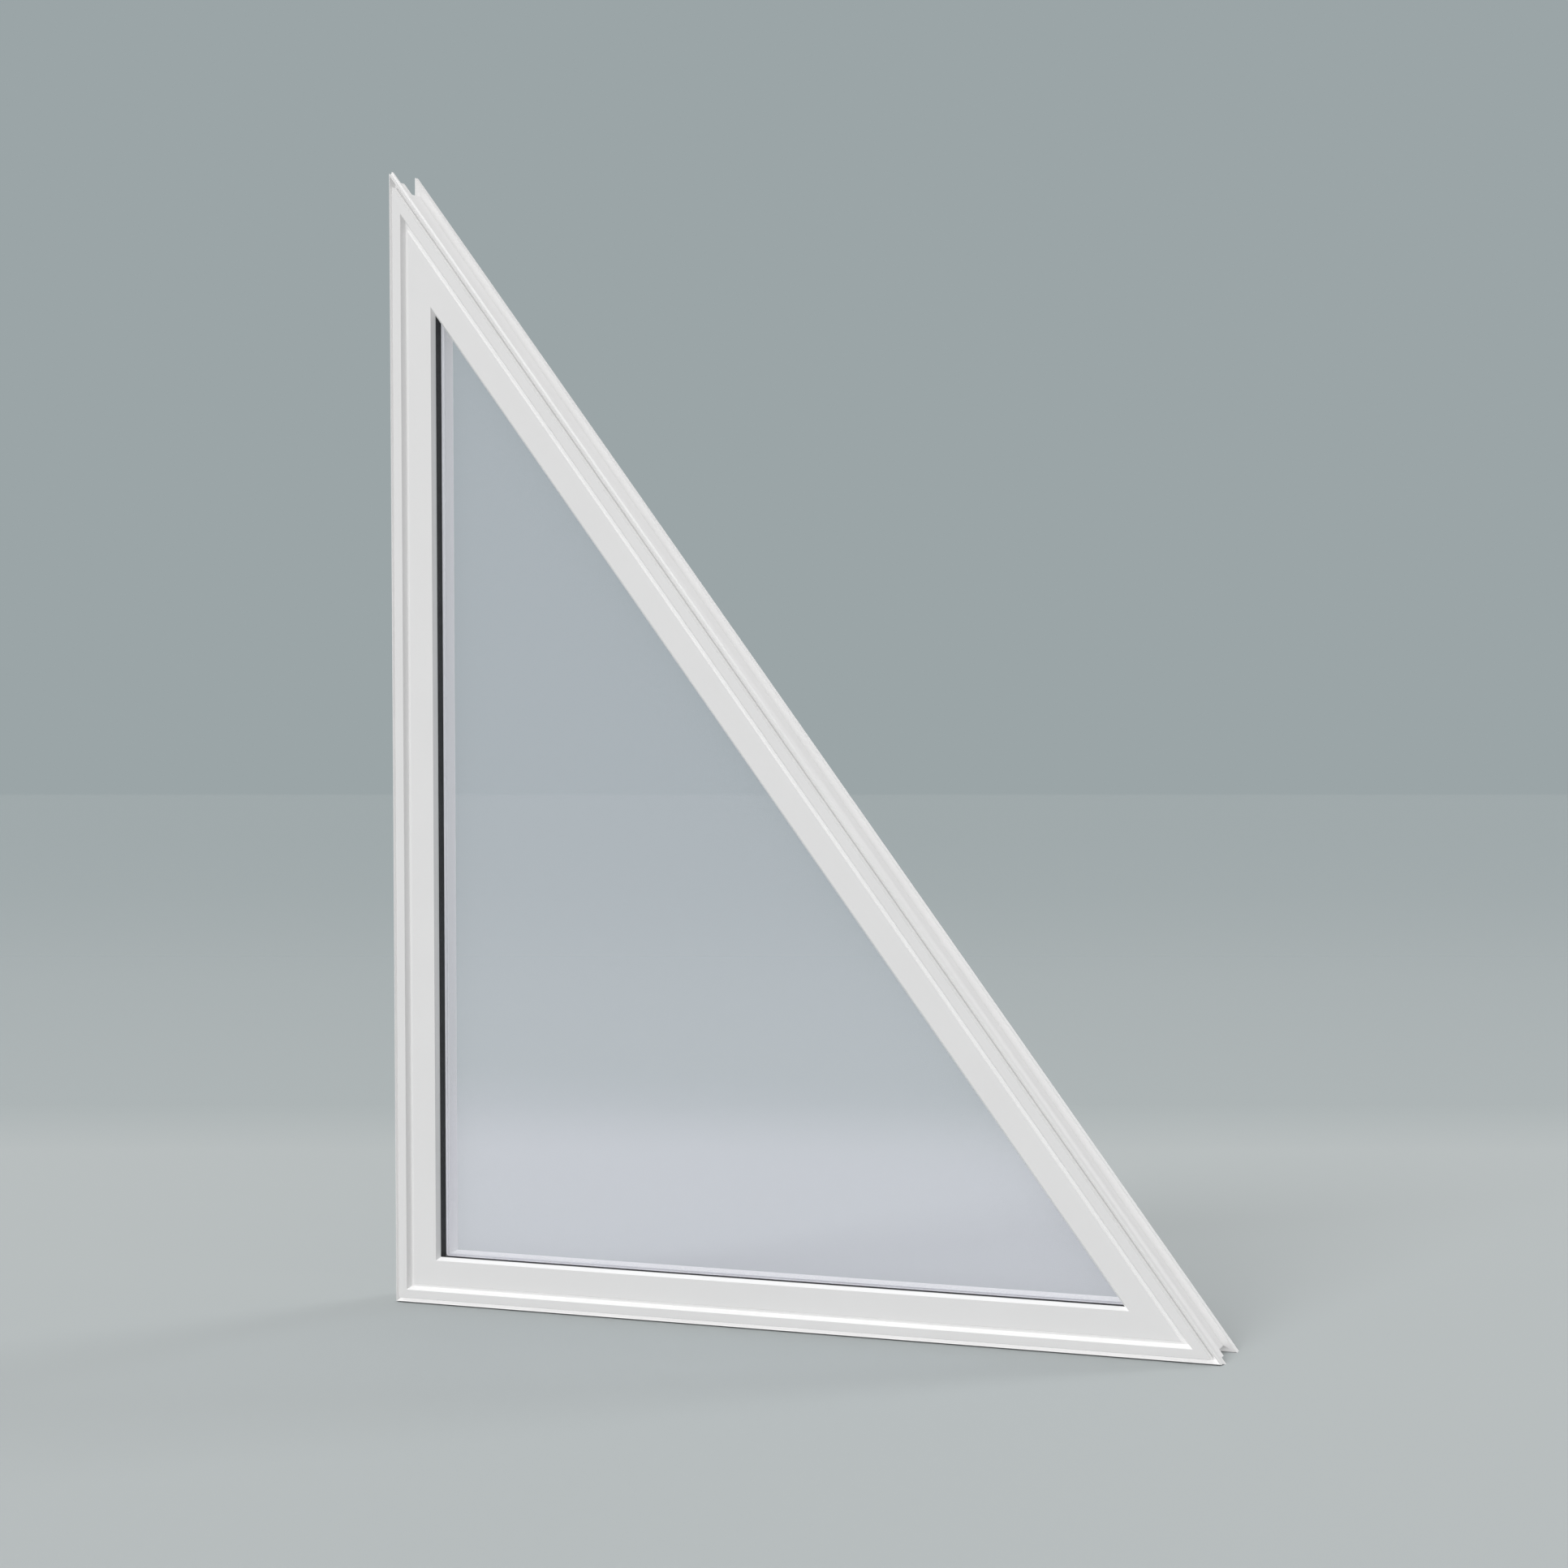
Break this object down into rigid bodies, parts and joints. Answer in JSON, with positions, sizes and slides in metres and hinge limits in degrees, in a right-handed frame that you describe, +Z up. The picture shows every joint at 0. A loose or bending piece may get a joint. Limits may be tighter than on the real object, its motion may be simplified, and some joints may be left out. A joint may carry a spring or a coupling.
{
  "type": "rake head window",
  "caption": "Fixed right-triangle window: mitred hollow white rails with a sloping head, snap-in glazing beads and a sealed double-glazed unit.",
  "frame": {"origin": "centre of the box's underside, on the level that the sill stands on", "axes": "+Z up, +X along the sill from the upright jamb to the low end of the rake, +Y from the front face to the rear"},
  "size_m": [0.9144, 0.0794, 1.2192],
  "materials": {
    "frame": "smooth satin white rigid vinyl",
    "bead": "smooth satin white rigid vinyl",
    "gasket": "soft matte white",
    "tape": "matte white foam tape",
    "edge_seal": "dull black sealant",
    "spacer": "matte black",
    "glass": "clear float glass, faintly blue",
    "block": "dull dark grey"
  },
  "bodies": {
    "root": {"left_jamb_frame": "frame", "rake_head_frame": "frame", "bottom_sill_frame": "frame", "left_jamb_bead": "bead", "rake_head_bead": "bead", "bottom_sill_bead": "bead", "left_jamb_front_gasket": "gasket", "rake_head_front_gasket": "gasket", "bottom_sill_front_gasket": "gasket", "left_jamb_rear_tape": "tape", "rake_head_rear_tape": "tape", "bottom_sill_rear_tape": "tape", "left_jamb_edge_seal": "edge_seal", "rake_head_edge_seal": "edge_seal", "bottom_sill_edge_seal": "edge_seal", "left_jamb_spacer": "spacer", "rake_head_spacer": "spacer", "bottom_sill_spacer": "spacer", "outer_pane": "glass", "inner_pane": "glass", "sill_block_left": "block", "sill_block_right": "block", "jamb_block": "block", "rake_block": "block"}
  },
  "joints": []
}
